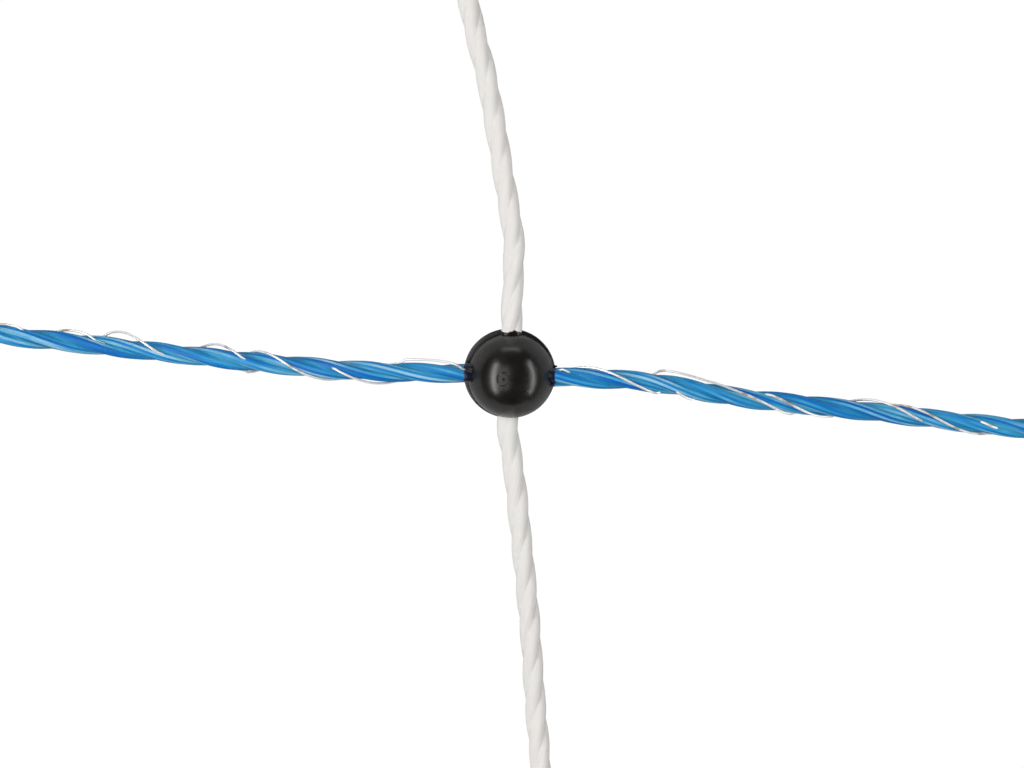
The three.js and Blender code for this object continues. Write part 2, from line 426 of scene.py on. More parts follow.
@dataclass
class Nodes:
    """A short hand for making nodes in a shader tree."""

    tree: bpy.types.NodeTree

    def add(self, kind: str, **settings: object) -> bpy.types.Node:
        """Makes a node.

        Args:
            kind: The node's type without its ShaderNode prefix.
            settings: Properties of the node.

        Returns:
            The node.
        """
        node = self.tree.nodes.new("ShaderNode" + kind)
        for name, value in settings.items():
            setattr(node, name, value)
        return node

    def feed(self, socket: bpy.types.NodeSocket, value: object) -> None:
        """Links a socket to an output, or sets it to a plain value."""
        if isinstance(value, bpy.types.NodeSocket):
            self.tree.links.new(value, socket)
        else:
            socket.default_value = value

    def math(self, operation: str, *values: object) -> bpy.types.NodeSocket:
        """The output of a Math node.

        Args:
            operation: The node's operation.
            values: Its inputs in order, sockets or numbers.

        Returns:
            The node's output.
        """
        node = self.add("Math", operation=operation)
        for socket, value in zip(node.inputs, values):
            self.feed(socket, value)
        return node.outputs[0]

    def noise(self, vector: object, scale: float, detail: float = 3.0) -> bpy.types.NodeSocket:
        """The height of a Noise Texture at a vector."""
        node = self.add("TexNoise")
        self.feed(node.inputs["Vector"], vector)
        node.inputs["Scale"].default_value = scale
        node.inputs["Detail"].default_value = detail
        return node.outputs["Fac"]

    def spread(self, value: object, low: float, high: float) -> bpy.types.NodeSocket:
        """A value from 0 to 1 spread over another range."""
        node = self.add("MapRange")
        self.feed(node.inputs["Value"], value)
        node.inputs["To Min"].default_value = low
        node.inputs["To Max"].default_value = high
        return node.outputs["Result"]

    def ramp(
        self, value: object, places: tuple[float, ...], colours: tuple[Colour, ...]
    ) -> bpy.types.NodeSocket:
        """The colour of a ramp at a value.

        Args:
            value: Where on the ramp, from 0 to 1.
            places: Each stop's place, in order.
            colours: Each stop's colour, in the same order.

        Returns:
            The colour.
        """
        node = self.add("ValToRGB")
        elements = node.color_ramp.elements
        while len(elements) < len(places):
            elements.new(1.0)
        for element, place, colour in zip(elements, places, colours):
            element.position = place
            element.color = (*colour, 1.0)
        self.feed(node.inputs["Fac"], value)
        return node.outputs["Color"]

    def mix(self, share: object, first: object, second: object) -> bpy.types.NodeSocket:
        """A mix of two colours.

        Args:
            share: The second colour's share.
            first: The first colour, a socket or plain.
            second: The second colour, a socket or plain.

        Returns:
            The mixed colour.
        """
        node = self.add("Mix", data_type="RGBA")
        self.feed(node.inputs["Factor"], share)
        for socket, value in ((node.inputs[6], first), (node.inputs[7], second)):
            self.feed(socket, (*value, 1.0) if isinstance(value, tuple) else value)
        return node.outputs[2]

    def bump(self, height: object, distance: float, strength: float) -> bpy.types.NodeSocket:
        """The normal of a Bump node over a height."""
        node = self.add("Bump")
        self.feed(node.inputs["Height"], height)
        node.inputs["Distance"].default_value = distance
        node.inputs["Strength"].default_value = strength
        return node.outputs["Normal"]


class FilamentGroup:
    """The shader group for drawn filaments that lie side by side round a strand."""

    NAME = "Filaments side by side"
    FILAMENT_STEP = 7.31
    WANDER_SCALE = 3.3
    OWN_SHARE = 0.55
    WANDER_SHARE = 0.6
    DARKENING = 0.08

    @classmethod
    def tree(cls) -> bpy.types.NodeTree:
        """The group, which is built the first time.

        Returns:
            The group's node tree.
        """
        found = bpy.data.node_groups.get(cls.NAME)
        return found or cls.build()

    @classmethod
    def build(cls) -> bpy.types.NodeTree:
        """Builds the group: a tone for each filament that wanders along it, and its round back.

        Returns:
            The group's node tree.
        """
        tree = bpy.data.node_groups.new(cls.NAME, "ShaderNodeTree")
        tree.interface.new_socket("Place", in_out="INPUT", socket_type="NodeSocketVector")
        tree.interface.new_socket("Filaments", in_out="INPUT", socket_type="NodeSocketFloat")
        tree.interface.new_socket("Tone", in_out="OUTPUT", socket_type="NodeSocketFloat")
        tree.interface.new_socket("Back", in_out="OUTPUT", socket_type="NodeSocketFloat")
        nodes = Nodes(tree)
        entry = tree.nodes.new("NodeGroupInput")
        leave = tree.nodes.new("NodeGroupOutput")
        split = nodes.add("SeparateXYZ")
        nodes.feed(split.inputs[0], entry.outputs["Place"])
        across = nodes.math("MULTIPLY", split.outputs["X"], entry.outputs["Filaments"])
        number = nodes.math("FLOOR", across)
        middle = nodes.math("ABSOLUTE", nodes.math("SUBTRACT", nodes.math("FRACT", across), 0.5))
        own = nodes.add("TexWhiteNoise", noise_dimensions="1D")
        nodes.feed(own.inputs["W"], number)
        place = nodes.add("CombineXYZ")
        nodes.feed(place.inputs["X"], nodes.math("MULTIPLY", number, cls.FILAMENT_STEP))
        nodes.feed(place.inputs["Y"], split.outputs["Y"])
        wander = nodes.noise(place.outputs[0], cls.WANDER_SCALE, 2.0)
        own_part = nodes.math("MULTIPLY", own.outputs["Value"], cls.OWN_SHARE)
        mixed = nodes.math("ADD", own_part, nodes.math("MULTIPLY", wander, cls.WANDER_SHARE))
        nodes.feed(leave.inputs["Tone"], nodes.math("SUBTRACT", mixed, cls.DARKENING))
        fall = nodes.math("MULTIPLY", nodes.math("POWER", middle, 2.0), 4.0)
        nodes.feed(leave.inputs["Back"], nodes.math("SUBTRACT", 1.0, fall))
        return tree


def new_material(name: str) -> tuple[bpy.types.Material, Nodes, bpy.types.Node]:
    """A material with its Principled BSDF, ready for more nodes.

    Args:
        name: The material's name.

    Returns:
        The material, its nodes and its Principled BSDF.
    """
    material = bpy.data.materials.new(name)
    material.use_nodes = True
    shader = material.node_tree.nodes["Principled BSDF"]
    return material, Nodes(material.node_tree), shader


def filaments(nodes: Nodes, count: float) -> bpy.types.Node:
    """The filament group placed in a material, on the strand's own UV map.

    Args:
        nodes: The material's nodes.
        count: How many filaments lie round the strand.

    Returns:
        The group's node.
    """
    group = nodes.add("Group", node_tree=FilamentGroup.tree())
    place = nodes.add("UVMap", uv_map="strand")
    nodes.feed(group.inputs["Place"], place.outputs["UV"])
    group.inputs["Filaments"].default_value = count
    return group


@dataclass(frozen=True)
class PolywireFinish:
    """Blue polyethylene filaments, slightly glossy, each with its own tone, the lightest tone a painted
    highlight streak, and a painted teal glow in the ply grooves.
    """

    filament_count: int
    deep: Colour = (0.001, 0.105, 0.39)
    azure: Colour = (0.002, 0.17, 0.47)
    light: Colour = (0.04, 0.29, 0.52)
    # painted highlight streak: the ramp's top stop, on the lightest filaments
    painted_highlight_streak: Colour = (0.26, 0.48, 0.61)
    # painted glow: a lighter teal mixed into the ply grooves
    painted_groove_glow: Colour = (0.02, 0.23, 0.37)
    tone_places: tuple[float, ...] = (0.25, 0.46, 0.62, 0.8)
    glow_share_in_grooves: float = 0.75
    roughness: tuple[float, float] = (0.36, 0.5)
    gloss: float = 0.25
    relief: float = 0.03 * MM
    relief_strength: float = 0.6

    def material(self) -> bpy.types.Material:
        """Builds the material."""
        material, nodes, shader = new_material("blue_polywire_filaments")
        group = filaments(nodes, self.filament_count)
        # The ramp's top stop is a painted highlight streak along the lightest filaments.
        tones = (self.deep, self.azure, self.light, self.painted_highlight_streak)
        tone = nodes.ramp(group.outputs["Tone"], self.tone_places, tones)
        # Painted glow: the groove mask mixes a lighter teal into the ply grooves.
        groove = nodes.add("Attribute", attribute_name="groove")
        groove_glow_mix = nodes.math("MULTIPLY", groove.outputs["Fac"], self.glow_share_in_grooves)
        nodes.feed(shader.inputs["Base Color"], nodes.mix(groove_glow_mix, tone, self.painted_groove_glow))
        nodes.feed(shader.inputs["Roughness"], nodes.spread(group.outputs["Tone"], *self.roughness))
        relief = nodes.bump(group.outputs["Back"], self.relief, self.relief_strength)
        nodes.feed(shader.inputs["Normal"], relief)
        shader.inputs["Specular IOR Level"].default_value = self.gloss
        return material


@dataclass(frozen=True)
class TwineFinish:
    """Off-white twisted polyester, matt, with fibres too fine to tell apart."""

    fibre_count: int = 66
    low: Colour = (0.62, 0.59, 0.568)
    high: Colour = (0.70, 0.665, 0.645)
    cool: Colour = (0.64, 0.635, 0.61)
    tone_places: tuple[float, float] = (0.1, 0.8)
    patch_scale: float = 260.0
    patch_range: tuple[float, float] = (-0.6, 1.6)
    roughness: float = 0.75
    relief: float = 0.02 * MM
    relief_strength: float = 0.5

    def material(self) -> bpy.types.Material:
        """Builds the material."""
        material, nodes, shader = new_material("white_twine_fibres")
        group = filaments(nodes, self.fibre_count)
        fibre = nodes.ramp(group.outputs["Tone"], self.tone_places, (self.low, self.high))
        place = nodes.add("TexCoord").outputs["Object"]
        patches = nodes.spread(nodes.noise(place, self.patch_scale, 2.0), *self.patch_range)
        nodes.feed(shader.inputs["Base Color"], nodes.mix(patches, fibre, self.cool))
        shader.inputs["Roughness"].default_value = self.roughness
        relief = nodes.bump(group.outputs["Back"], self.relief, self.relief_strength)
        nodes.feed(shader.inputs["Normal"], relief)
        return material


@dataclass(frozen=True)
class WireFinish:
    """Bright drawn stainless wire with faint brown handling marks."""

    bright: Colour = (0.88, 0.87, 0.85)
    marked: Colour = (0.50, 0.44, 0.39)
    mark_scale: float = 420.0
    mark_places: tuple[float, float] = (0.34, 0.44)
    metal: float = 0.5
    roughness: tuple[float, float] = (0.28, 0.42)

    def material(self) -> bpy.types.Material:
        """Builds the material."""
        material, nodes, shader = new_material("bright_conductor_wire")
        place = nodes.add("TexCoord").outputs["Object"]
        marks = nodes.noise(place, self.mark_scale)
        colour = nodes.ramp(marks, self.mark_places, (self.marked, self.bright))
        nodes.feed(shader.inputs["Base Color"], colour)
        nodes.feed(shader.inputs["Roughness"], nodes.spread(marks, *self.roughness[::-1]))
        shader.inputs["Metallic"].default_value = self.metal
        return material


@dataclass(frozen=True)
class KnotFinish:
    """Near-black moulded plastic with a satin skin, or its thin film over a blue strand."""

    name: str = "black_moulded_plastic"
    plain: Colour = (0.0048, 0.0038, 0.0030)
    worn: Colour = (0.0085, 0.0072, 0.0060)
    cloud_scale: float = 520.0
    cloud_places: tuple[float, float] = (0.35, 0.7)
    roughness: tuple[float, float] = (0.22, 0.31)
    grain: float = 0.012 * MM
    grain_scale: float = 2600.0
    grain_strength: float = 0.35

    def material(self) -> bpy.types.Material:
        """Builds the material."""
        material, nodes, shader = new_material(self.name)
        place = nodes.add("TexCoord").outputs["Object"]
        cloud = nodes.noise(place, self.cloud_scale)
        colour = nodes.ramp(cloud, self.cloud_places, (self.plain, self.worn))
        nodes.feed(shader.inputs["Base Color"], colour)
        nodes.feed(shader.inputs["Roughness"], nodes.spread(cloud, *self.roughness))
        skin = nodes.noise(place, self.grain_scale, 4.0)
        nodes.feed(shader.inputs["Normal"], nodes.bump(skin, self.grain, self.grain_strength))
        return material


@dataclass
class Strand:
    """A strand of three twisted plies along a route, in millimetres and degrees."""

    node: str
    slot: Slot
    route: Route
    radius: float
    lay: float
    ply_angle: float
    roundness: float
    filament_count: int
    flute: float
    fibre_twist: float
    seed: int
    plies: int = 3
    steps_per_lay: int = 36
    points_per_filament: int = 4
    bulge: float = 0.03
    swell_lengths: tuple[float, ...] = (31, 12.7, 7.9)

    def __post_init__(self) -> None:
        """Draws the slow swelling of each ply along the strand."""
        rng = np.random.default_rng(self.seed)
        self.swells = rng.uniform(0, TURN, (self.plies, len(self.swell_lengths)))

    def crest_angle(self, run: np.ndarray) -> np.ndarray:
        """The angle of the first ply's crest along the strand."""
        return math.radians(self.ply_angle) + TURN * run / self.lay

    def off_crest(self, run: np.ndarray, angle: np.ndarray) -> tuple[np.ndarray, np.ndarray]:
        """How far points round the strand are from the nearest ply's crest.

        Args:
            run: Distances from the strand's middle.
            angle: Angles round the strand.

        Returns:
            The ply's number, and the angle from its crest.
        """
        turned = (angle - self.crest_angle(run)) * self.plies / TURN
        ply = np.round(turned)
        return ply.astype(int) % self.plies, (turned - ply) * TURN / self.plies

    def reach(self, run: np.ndarray, angle: np.ndarray) -> np.ndarray:
        """Distance of the plies' skin from the strand's middle line.

        Args:
            run: Distances from the strand's middle.
            angle: Angles round the strand.

        Returns:
            The distances.
        """
        ply, off = self.off_crest(run, angle)
        heart = self.radius * (1 - self.roundness)
        lobe = heart * np.cos(off) + np.sqrt((self.radius - heart) ** 2 - (heart * np.sin(off)) ** 2)
        lengths = enumerate(self.swell_lengths)
        waves = [np.sin(TURN * run / length + self.swells[ply, i]) for i, length in lengths]
        return lobe * (1 + self.bulge * (sum(waves) / len(waves) - 1))

    def groove(self, run: np.ndarray, angle: np.ndarray) -> np.ndarray:
        """A mask that is 0 on a ply's crest and 1 at the bottom of a groove."""
        return (np.abs(self.off_crest(run, angle)[1]) * 2 * self.plies / TURN) ** 3

    def build(self, material: bpy.types.Material) -> bpy.types.Object:
        """Builds the strand's mesh, with a flute for each filament, and dresses it.

        Args:
            material: The strand's finish.

        Returns:
            The finished piece.
        """
        count = round(2 * self.route.half / self.lay * self.steps_per_lay)
        sides = self.filament_count * self.points_per_filament
        along = np.linspace(-self.route.half, self.route.half, count)
        run = np.repeat(along[:, None], sides, axis=1)
        turn = TURN * np.arange(sides) / sides
        angle = turn[None, :] + self.fibre_twist * TURN * run / self.lay
        back = np.abs(np.cos(turn * self.filament_count / 2))[None, :]
        reach = self.reach(run, angle) - self.flute * (1 - back)
        mesh = tube_mesh(self.node, self.route.surface(run, angle, reach) * MM)
        unwrap_tube(mesh, count, sides, along / self.lay)
        # The groove mask, which the polywire finish uses to paint a teal glow into the grooves.
        groove = mesh.attributes.new("groove", "FLOAT", "POINT")
        groove.data.foreach_set("value", self.groove(run, angle).astype(np.float32).ravel())
        return finish_piece(mesh, material, self.node)

    def section_rings(self, run: np.ndarray, skin: float, sides: int) -> np.ndarray:
        """Rings of points at the strand's skin, without its flutes.

        Args:
            run: Distances from the strand's middle, one for each ring and side or for each ring.
            skin: How far outside the strand's skin the points are.
            sides: Points in a ring.

        Returns:
            The points, as rings by points in a ring by three.
        """
        spread = run if run.ndim == 2 else np.repeat(run[:, None], sides, axis=1)
        angle = np.broadcast_to(TURN * np.arange(sides) / sides, spread.shape)
        return self.route.surface(spread, angle, self.reach(spread, angle) + skin)


@dataclass(frozen=True)
class LaidWire:
    """One conductor wire as it was laid, by places along X from the middle knot.

    It crosses the front of the polywire at its crossings, stands off to a reach at its stand-offs,
    and lies on the plies where it shows. Elsewhere it is tucked in between them. Where it lingers,
    its turns are given too: they are whole at the polywire's upper edge, and 0 at the last such
    place before its first crossing.
    """

    crossings: tuple[float, ...]
    stand_offs: tuple[tuple[float, float], ...]
    shows: tuple[tuple[float, float], ...]
    lingers: tuple[tuple[float, float], ...] = ()


MIDDLE_WIRES = (
    LaidWire(
        (-49.9, -32.4, -11.2, 10.1, 31.1, 50.7),
        ((-57.4, 1.62), (-37.8, 1.75), (20.7, 1.75), (24.6, 1.6), (41.0, 1.66)),
        ((-60.6, -51.8), (-40.7, -32.9), (5.0, 7.9), (17.6, 36.3), (39.0, 52.3)),
        ((19.2, 4.0), (26.0, 4.08)),
    ),
    LaidWire(
        (-43.9, -27.4, -4.9, 14.4, 34.6, 54.0),
        ((-50.3, 2.06), (-11.3, 1.66)),
        ((-53.6, -43.4), (-33.4, -19.9), (-14.0, -4.0), (6.2, 19.4), (31.3, 41.8), (46.3, 63.8)),
        ((-13.7, 1.98), (-6.2, 2.04)),
    ),
    LaidWire(
        (-58.5, -38.1, -21.7, -1.2, 18.8, 39.5, 60.3),
        ((-31.4, 1.6), (-14.8, 1.5)),
        ((-66.2, -60.7), (-33.7, -29.3), (-22.3, -12.7), (20.3, 23.8), (58.8, 61.7)),
    ),
)


@dataclass
class Conductor:
    """One conductor wire along its polywire, in millimetres."""

    node: str
    polywire: Strand
    number: int
    laid: LaidWire | None
    diameter: float = 0.3
    bedding: float = 0.02
    tuck: float = 0.46
    tuck_length: float = 29.0
    tuck_phase: float = 2.1
    tuck_level: float = 0.55
    tuck_ease: float = 0.4
    show_ease: float = 1.2
    mouth_gap: float = 0.05
    mouth_ease: float = 0.5
    laid_half: float = 66.0
    front_share: float = 82 / 360
    spare_turns: int = 11
    turn_smoothing: float = 1.5
    stand_length: float = 3.6
    step: float = 0.5
    sides: int = 8
    wander: float = 0.035
    wander_length: float = 33.0
    slack: float = 0.5
    slack_length: float = 47.0
    slack_gap: float = 1.0
    slack_ease: float = 6.0
    flank: float = 0.12
    under_from: float = -0.1

    def turns(self, run: np.ndarray) -> np.ndarray:
        """How many turns the wire has made at distances along the polywire.

        Args:
            run: Distances from the polywire's middle, evenly spaced.

        Returns:
            The turns, which are whole where the wire is at the polywire's upper edge.
        """
        if self.laid is None:
            groove = self.polywire.crest_angle(run) / TURN + (self.number - 0.5) / 3
            return groove + self.wander * np.sin(TURN * run / self.wander_length + 2 * self.number)
        first, last = self.laid.crossings[0], self.laid.crossings[-1]
        extra = np.arange(1, self.spare_turns + 1) * self.polywire.lay
        places = np.concatenate([first - extra[::-1], self.laid.crossings, last + extra])
        made = np.arange(len(places)) - len(extra) + self.front_share
        pairs = np.array(sorted([*zip(places, made), *self.laid.lingers]))
        along_x = self.polywire.route.at(run)[:, 0]
        turns = np.interp(along_x, pairs[:, 0], pairs[:, 1])
        return smoothed(turns, round(self.turn_smoothing / self.step))

    def standing(self, run: np.ndarray, angle: np.ndarray, bed: np.ndarray) -> np.ndarray:
        """How far the wire stands off its bed.

        Args:
            run: Distances from the polywire's middle.
            angle: The wire's angles there.
            bed: The distances at which it would lie on the plies.

        Returns:
            The extra distances.
        """
        if self.laid is None:
            wave = (1 + np.sin(TURN * (run / self.slack_length - self.number / 3))) / 2
            clear = ease(self.past_knot(run) - self.slack_gap, self.slack_ease)
            return self.slack * wave**2 * (1 + np.sin(angle)) / 2 * clear
        along_x = self.polywire.route.at(run)[:, 0]
        extra = np.zeros(len(run))
        for place, reach in self.laid.stand_offs:
            bell = np.exp(-0.5 * ((along_x - place) / self.stand_length) ** 2)
            extra = np.maximum(extra, bell * (reach - bed))
        return extra

    def past_knot(self, run: np.ndarray) -> np.ndarray:
        """Distances along the polywire from the nearest knot's edge, below 0 inside the knot."""
        route = self.polywire.route
        away = np.min([np.abs(run - route.run_of(knot)) for knot in route.knots], axis=0)
        return away - route.layout.knot_width / 2

    def showing(self, run: np.ndarray) -> np.ndarray:
        """How much the wire lies on the plies and not between them or in a knot.

        Args:
            run: Distances from the polywire's middle.

        Returns:
            Shares from 0, tucked in, to 1, on the plies.
        """
        wave = np.sin(TURN * run / self.tuck_length + self.tuck_phase * self.number)
        shows = ease(wave + self.tuck_level, self.tuck_ease)
        if self.laid is not None:
            x = self.polywire.route.at(run)[:, 0]
            length = self.show_ease
            windows = [ease(x - first, length) * ease(last - x, length) for first, last in self.laid.shows]
            shows = np.where(np.abs(x) < self.laid_half, np.max(windows, axis=0), shows)
        return shows * ease(self.past_knot(run) - self.mouth_gap, self.mouth_ease)

    def build(self, material: bpy.types.Material) -> bpy.types.Object:
        """Builds the wire's mesh on its plies, and dresses it.

        Args:
            material: The wire's finish.

        Returns:
            The finished piece.
        """
        route = self.polywire.route
        count = round(2 * route.half / self.step)
        run = np.linspace(-route.half, route.half, count)
        angle = TURN * self.turns(run)
        flanks = [self.polywire.reach(run, angle + side * self.flank) for side in (-1, 0, 1)]
        bed = smoothed(np.max(flanks, axis=0), 2) + self.diameter / 2 - self.bedding
        reach = bed + self.standing(run, angle, bed) - self.tuck * (1 - self.showing(run))
        room = route.at(run)[:, 2] - self.diameter / 2
        under = np.sin(angle) < self.under_from
        reach[under] = np.minimum(reach[under], room[under] / -np.sin(angle[under]))
        centre = route.surface(run, angle, reach)
        along = np.gradient(centre, axis=0)
        along /= np.linalg.norm(along, axis=1, keepdims=True)
        left = np.cross(np.array([0.0, 0.0, 1.0]), along)
        left /= np.linalg.norm(left, axis=1, keepdims=True)
        up = np.cross(along, left)
        turn = TURN * np.arange(self.sides) / self.sides
        ring = left[:, None] * np.cos(turn)[:, None] + up[:, None] * np.sin(turn)[:, None]
        rings = centre[:, None] + ring * self.diameter / 2
        mesh = tube_mesh(self.node, rings * MM)
        unwrap_tube(mesh, count, self.sides, run / self.polywire.lay)
        return finish_piece(mesh, material, self.node)


def finish_piece(
    mesh: bpy.types.Mesh, material: bpy.types.Material, node: str
) -> bpy.types.Object:
    """Puts a finished mesh in the scene in place of its CAD node, riding on the body.

    Args:
        mesh: The mesh, in metres and in place.
        material: The finish, for a mesh that has none yet.
        node: The CAD node that the piece stands for.

    Returns:
        The piece.
    """
    if not mesh.materials:
        mesh.materials.append(material)
    piece = bpy.data.objects.new("fine_" + node, mesh)
    bpy.context.scene.collection.objects.link(piece)
    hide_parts(node)
    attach(piece, BODY)
    log.info("%s: %d faces", piece.name, len(mesh.polygons))
    return piece


class Bench:
    """Hand tools for modelling on the bench, where one unit is a millimetre."""

    @staticmethod
    def pick(piece: bpy.types.Object) -> None:
        """Selects one object alone and makes it active."""
        bpy.ops.object.select_all(action="DESELECT")
        piece.select_set(True)
        bpy.context.view_layer.objects.active = piece

    @staticmethod
    def added(primitive: Callable[..., set[str]], **sizes: object) -> bpy.types.Object:
        """Adds a primitive alone.

        Args:
            primitive: The operator that adds it.
            sizes: The operator's settings.

        Returns:
            The new object.
        """
        bpy.ops.object.select_all(action="DESELECT")
        primitive(**sizes)
        return bpy.context.view_layer.objects.active

    @staticmethod
    @contextmanager
    def editing(piece: bpy.types.Object, kind: str = "FACE") -> Iterator[None]:
        """Edit mode on one object, with verts, edges or faces selected as they are marked.

        Args:
            piece: The object.
            kind: VERT, EDGE or FACE.

        Yields:
            Nothing, while in edit mode.
        """
        Bench.pick(piece)
        bpy.ops.object.mode_set(mode="EDIT")
        bpy.ops.mesh.select_mode(type=kind)
        yield
        bpy.ops.object.mode_set(mode="OBJECT")

    @staticmethod
    def mark_edges(piece: bpy.types.Object, chosen: Callable[[Vector, Vector], bool]) -> None:
        """Marks the edges whose two ends pass a test, and nothing else."""
        mesh = piece.data
        for item in (*mesh.polygons, *mesh.vertices):
            item.select = False
        for edge in mesh.edges:
            first, second = (mesh.vertices[i].co for i in edge.vertices)
            edge.select = chosen(first, second)

    @staticmethod
    def mark_faces(piece: bpy.types.Object, chosen: Callable[[bpy.types.MeshPolygon], bool]) -> None:
        """Marks the faces that pass a test, and nothing else."""
        mesh = piece.data
        for item in (*mesh.edges, *mesh.vertices):
            item.select = False
        for face in mesh.polygons:
            face.select = chosen(face)

    @staticmethod
    def combine(piece: bpy.types.Object, other: bpy.types.Object, operation: str) -> None:
        """Joins another solid to a piece or cuts it out, and removes the other.

        Args:
            piece: The solid that stays.
            other: The solid that is used up.
            operation: UNION or DIFFERENCE.
        """
        Bench.pick(piece)
        cut = piece.modifiers.new("cut", "BOOLEAN")
        cut.operation = operation
        cut.solver = "EXACT"
        cut.object = other
        bpy.ops.object.modifier_apply(modifier=cut.name)
        mesh = other.data
        bpy.data.objects.remove(other)
        bpy.data.meshes.remove(mesh)

    @staticmethod
    def clean(piece: bpy.types.Object, gap: float = 0.0004) -> None:
        """Welds points that are closer than a gap, and closes what that opens."""
        with Bench.editing(piece, "VERT"):
            bpy.ops.mesh.select_all(action="SELECT")
            bpy.ops.mesh.remove_doubles(threshold=gap)
            bpy.ops.mesh.dissolve_degenerate(threshold=gap)
            bpy.ops.mesh.select_all(action="SELECT")
            bpy.ops.mesh.fill_holes(sides=0)

    @staticmethod
    def solid(name: str, rings: np.ndarray) -> bpy.types.Object:
        """An object of one closed tube through rings of points."""
        piece = bpy.data.objects.new(name, tube_mesh(name, rings))
        bpy.context.scene.collection.objects.link(piece)
        return piece


@dataclass
class KnotMould:
    """The two halves of a moulded knot and its marks, in millimetres in the knot's own frame."""

    layout: Layout
    shell_step: float = 0.3
    shell_shift: tuple[float, float] = (0.18, -0.18)
    shell_sink: float = 0.4
    rim_round: float = 0.22
    rest_round: float = 0.12
    gate_place: tuple[float, float] = (-0.72, 0.02)
    gate_radius: float = 0.82
    gate_groove: float = 0.085
    gate_pit: float = 0.17
    pin_place: tuple[float, float] = (0.14, -0.46)
    pin_radius: float = 0.14
    nib_angles: tuple[float, float] = (11.5, -10.5)
    nib_sizes: tuple[float, float] = (0.3, 0.2)
    nib_rise: float = 0.12
    nib_tilt: float = 78.0
    sides: int = 72
    rings: int = 36

    def half_sizes(self, step: float) -> Vector:
        """Half the ball's sizes, less a step round its sides."""
        layout = self.layout
        return Vector((layout.knot_width / 2 - step, layout.knot_length / 2 - step, layout.knot_depth / 2))

    def half_ball(self, step: float, keep_lower: bool) -> bpy.types.Object:
        """One half of the ball, cut flat and filled at the parting plane.

        Args:
            step: How much smaller it is round its sides.
            keep_lower: Whether the half under the parting plane is kept.

        Returns:
            The half.
        """
        half = Bench.added(
            bpy.ops.mesh.primitive_uv_sphere_add, segments=self.sides, ring_count=self.rings, radius=1.0
        )
        with Bench.editing(half):
            bpy.ops.mesh.select_all(action="SELECT")
            bpy.ops.transform.resize(value=self.half_sizes(step))
            bpy.ops.mesh.bisect(
                plane_co=(0, 0, 0), plane_no=(0, 0, 1), use_fill=True,
                clear_outer=keep_lower, clear_inner=not keep_lower,
            )
        return half

    def rear(self) -> bpy.types.Object:
        """The rear half, with its rest cut flat and both its rims rounded.

        Returns:
            The rear half.
        """
        rear = self.half_ball(0.0, keep_lower=True)
        rest = -self.layout.knot_centre
        with Bench.editing(rear):
            bpy.ops.mesh.select_all(action="SELECT")
            bpy.ops.mesh.bisect(
                plane_co=(0, 0, rest), plane_no=(0, 0, -1), use_fill=True, clear_outer=True
            )
        for height, rounding in ((0.0, self.rim_round), (rest, self.rest_round)):
            Bench.mark_edges(rear, lambda a, b, z=height: abs(a.z - z) < 1e-3 and abs(b.z - z) < 1e-3)
            with Bench.editing(rear, "EDGE"):
                bpy.ops.mesh.bevel(offset=rounding, segments=3, affect="EDGES")
        return rear

    def front(self) -> bpy.types.Object:
        """The front half, a step smaller all round, shifted a little and sunk into the rear.

        Returns:
            The front half.
        """
        front = self.half_ball(self.shell_step, keep_lower=False)
        Bench.mark_faces(front, lambda face: face.normal.z < -0.99)
        with Bench.editing(front):
            bpy.ops.mesh.extrude_region_move(
                TRANSFORM_OT_translate={"value": (0, 0, -self.shell_sink)}
            )
            bpy.ops.mesh.select_all(action="SELECT")
            bpy.ops.transform.translate(value=(*self.shell_shift, 0))
        return front

    def on_top(self, place: tuple[float, float]) -> Vector:
        """The point of the front half's skin over a place."""
        half = self.half_sizes(self.shell_step)
        x, y = ((place[i] - self.shell_shift[i]) / half[i] for i in range(2))
        return Vector((*place, half.z * math.sqrt(1 - x * x - y * y)))

    def cut_marks(self, ball: bpy.types.Object) -> None:
        """Cuts the gate's ring and pit and a pin's mark into the front half."""
        half = self.half_sizes(self.shell_step)
        sag = Vector((0, 0, self.gate_radius**2 / (2 * half.z)))
        off_x, off_y = (self.gate_place[i] - self.shell_shift[i] for i in range(2))
        ring = Bench.added(
            bpy.ops.mesh.primitive_torus_add, location=self.on_top(self.gate_place) - sag,
            rotation=(-math.asin(off_y / half.y), math.asin(off_x / half.x), 0),
            major_radius=self.gate_radius, minor_radius=self.gate_groove,
            major_segments=40, minor_segments=8,
        )
        Bench.combine(ball, ring, "DIFFERENCE")
        for place, radius in ((self.gate_place, self.gate_pit), (self.pin_place, self.pin_radius)):
            pit = Bench.added(
                bpy.ops.mesh.primitive_ico_sphere_add, location=self.on_top(place), radius=radius,
                subdivisions=2,
            )
            Bench.combine(ball, pit, "DIFFERENCE")

    def add_nibs(self, ball: bpy.types.Object) -> None:
        """Leaves two nibs of flash on the parting line beside the polywire's right port."""
        half = self.half_sizes(0.0)
        for degrees, size in zip(self.nib_angles, self.nib_sizes):
            angle = math.radians(degrees)
            place = Vector((half.x * math.cos(angle), half.y * math.sin(angle), self.nib_rise))
            nib = Bench.added(
                bpy.ops.mesh.primitive_cone_add, vertices=10, radius1=size, radius2=size / 5,
                depth=2 * size, location=place, rotation=(0, math.radians(self.nib_tilt), angle),
            )
            Bench.combine(ball, nib, "UNION")

    def mould(self) -> bpy.types.Object:
        """Models the ball once.

        Returns:
            The ball, before it is bored for the strands of its own place.
        """
        ball = self.rear()
        Bench.combine(ball, self.front(), "UNION")
        self.cut_marks(ball)
        self.add_nibs(ball)
        Bench.clean(ball)
        ball.name = "knot_master"
        return ball


@dataclass
class Port:
    """One place where a strand comes out of its knot, in millimetres."""

    strand: Strand
    way: int
    reach: float
    flush: float = 0.06
    jag: float = 0.42


